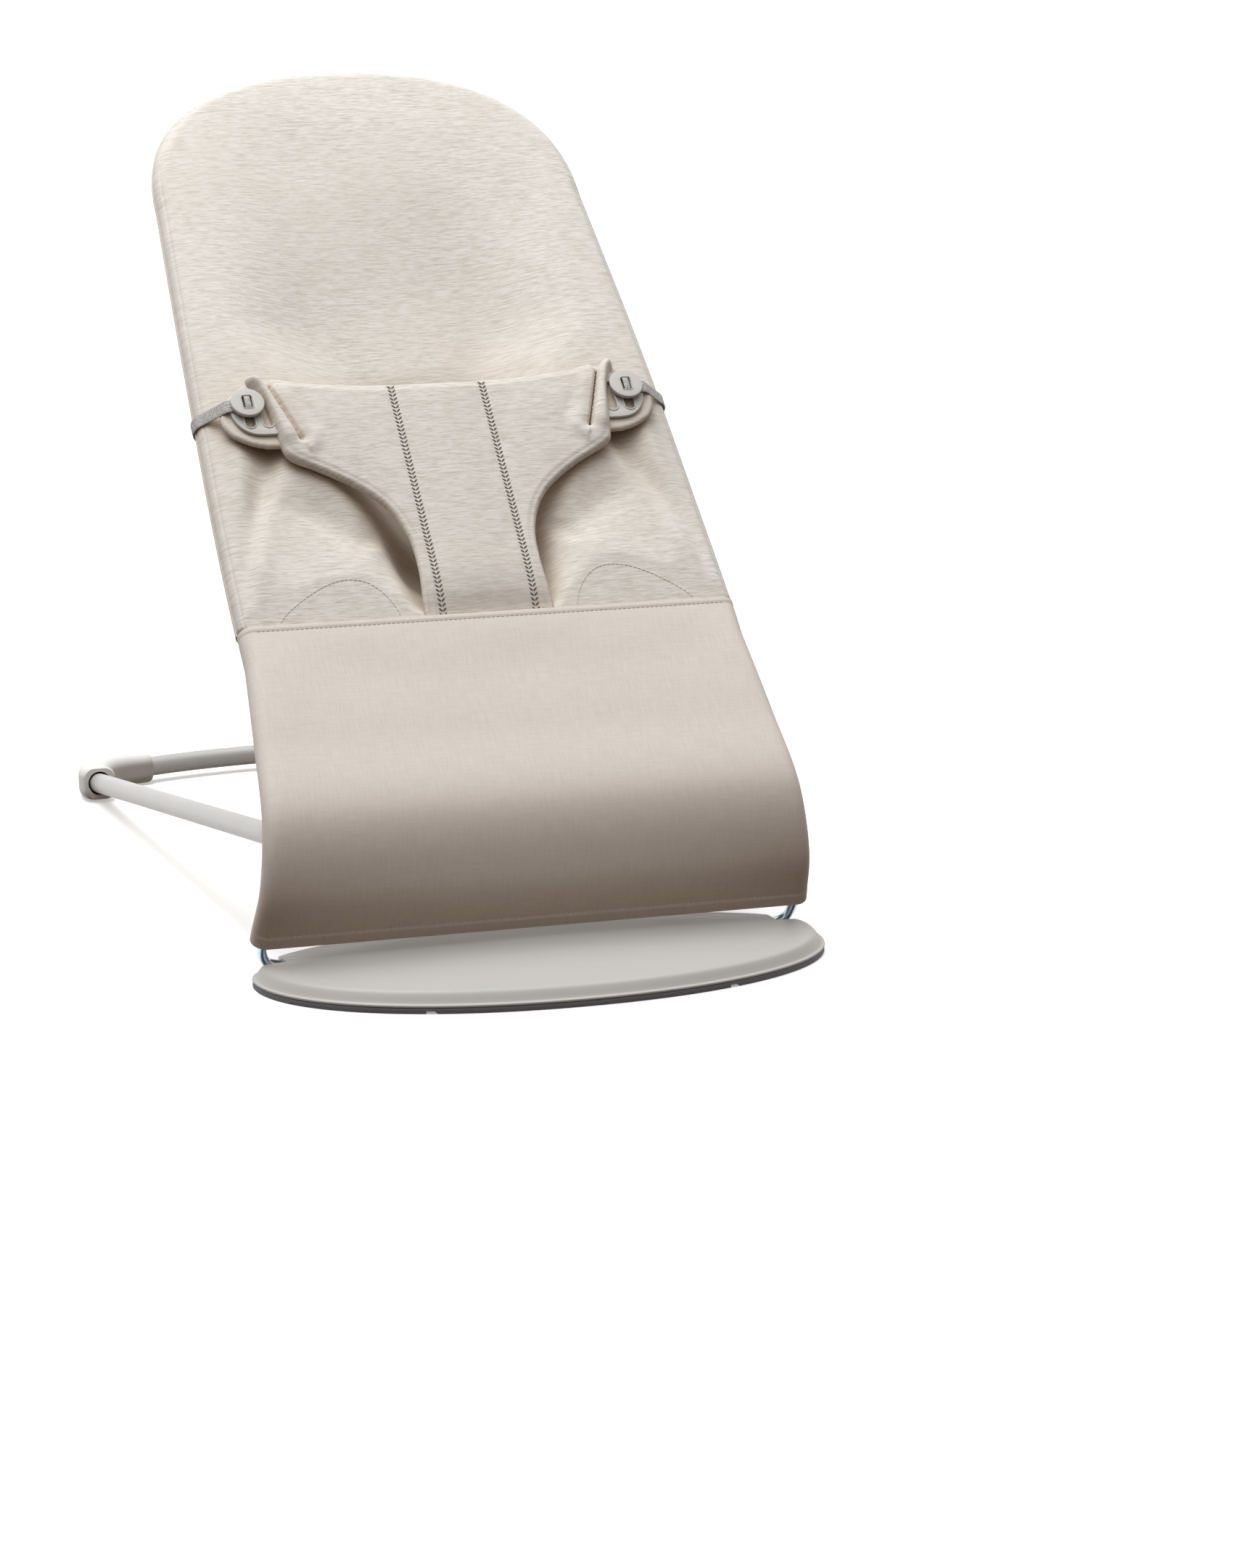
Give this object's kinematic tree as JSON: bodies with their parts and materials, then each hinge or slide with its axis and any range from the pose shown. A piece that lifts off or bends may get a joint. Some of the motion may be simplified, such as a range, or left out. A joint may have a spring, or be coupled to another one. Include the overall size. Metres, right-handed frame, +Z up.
{
  "type": "baby bouncer seat",
  "caption": "Low baby bouncer: padded seat slung on a tube loop, T-shaped restraint with keyhole fasteners, oval base plate and a folding rear leg.",
  "frame": {"origin": "bottom centre of the upright object, on the floor", "axes": "+X to the viewer's right as one faces the seat, +Y towards the rear leg, +Z up; the seat faces -Y"},
  "size_m": [0.389, 0.79, 0.56],
  "materials": {
    "plate_plastic": "fine matte moulded, warm light grey",
    "rubber_rim": "matte, dark blue grey",
    "spring_steel": "bright drawn wire",
    "zinc_steel": "zinc plated",
    "tube_paint": "satin powder coat, light grey",
    "grey_plastic": "matte moulded, mid grey",
    "soft_foot": "matte soft plastic, warm grey",
    "jersey": "padded melange jersey, pale warm grey",
    "woven": "smooth tight fabric, greige",
    "elastic": "woven elastic, grey melange"
  },
  "bodies": {
    "base": {"base_plate": "plate_plastic", "floor_ring": "rubber_rim", "wire_retainer_left": "zinc_steel", "wire_retainer_centre": "zinc_steel", "wire_retainer_right": "zinc_steel", "retainer_screw_1": "zinc_steel", "retainer_screw_2": "zinc_steel", "retainer_screw_3": "zinc_steel", "retainer_screw_4": "zinc_steel", "retainer_screw_5": "zinc_steel", "retainer_screw_6": "zinc_steel"},
    "front_frame": {"spring_wire": "spring_steel", "front_panel_lower": "woven", "adjuster_housing_left": "grey_plastic", "adjuster_housing_right": "grey_plastic", "pivot_pin_left": "zinc_steel", "pivot_pin_right": "zinc_steel", "lock_spring_left": "spring_steel", "lock_spring_right": "spring_steel"},
    "leg": {"leg_cross_tube": "tube_paint", "leg_hub_left": "grey_plastic", "leg_hub_right": "grey_plastic", "leg_side_tube_left": "tube_paint", "leg_side_tube_right": "tube_paint", "corner_foot_left": "soft_foot", "corner_foot_right": "soft_foot"},
    "seat": {"seat_tube_top": "tube_paint", "seat_cover": "jersey", "restraint_panel": "jersey", "front_panel_upper": "woven", "seat_hub_left": "grey_plastic", "seat_hub_right": "grey_plastic", "seat_arm_left": "tube_paint", "seat_arm_right": "tube_paint", "tube_joint_sleeve_left": "zinc_steel", "tube_joint_sleeve_right": "zinc_steel", "keyhole_plate_left": "grey_plastic", "keyhole_plate_right": "grey_plastic", "strap_left": "elastic", "strap_right": "elastic"},
    "lock_left": {"lock_plunger_left": "zinc_steel", "lock_knob_left": "grey_plastic"},
    "lock_right": {"lock_plunger_right": "zinc_steel", "lock_knob_right": "grey_plastic"},
    "button_left": {"disc_button_left": "grey_plastic"},
    "button_right": {"disc_button_right": "grey_plastic"}
  },
  "joints": [
    {"name": "recline", "type": "hinge", "parent": "base", "child": "front_frame", "pos_m": [0, -0.258, 0.009], "axis": [-1, 0, 0], "range_deg": [0, 42]},
    {"name": "leg_fold", "type": "hinge", "parent": "front_frame", "child": "leg", "pos_m": [0, -0.263, 0.0954], "axis": [-1, 0, 0], "range_deg": [-43.7, 0]},
    {"name": "bounce", "type": "hinge", "parent": "front_frame", "child": "seat", "pos_m": [0, -0.263, 0.0954], "axis": [-1, 0, 0], "range_deg": [-3, 4], "stiffness_Nm_per_rad": 300, "springref_deg": -0.43},
    {"name": "lock_pull_left", "type": "slide", "parent": "front_frame", "child": "lock_left", "axis": [1, 0, 0], "range_m": [0, 0.0055], "stiffness_N_per_m": 400, "springref_m": -0.004, "deforming": ["lock_spring_left"]},
    {"name": "lock_pull_right", "type": "slide", "parent": "front_frame", "child": "lock_right", "axis": [-1, 0, 0], "range_m": [0, 0.0055], "stiffness_N_per_m": 400, "springref_m": -0.004, "deforming": ["lock_spring_right"]},
    {"name": "button_slide_left", "type": "slide", "parent": "seat", "child": "button_left", "axis": [0, -0.7215, -0.6924], "range_m": [0, 0.014]},
    {"name": "button_slide_right", "type": "slide", "parent": "seat", "child": "button_right", "axis": [0, -0.7215, -0.6924], "range_m": [0, 0.014]}
  ],
  "couplings": [
    {"joint": "leg_fold", "follows": "recline", "ratio": -1.04}
  ]
}
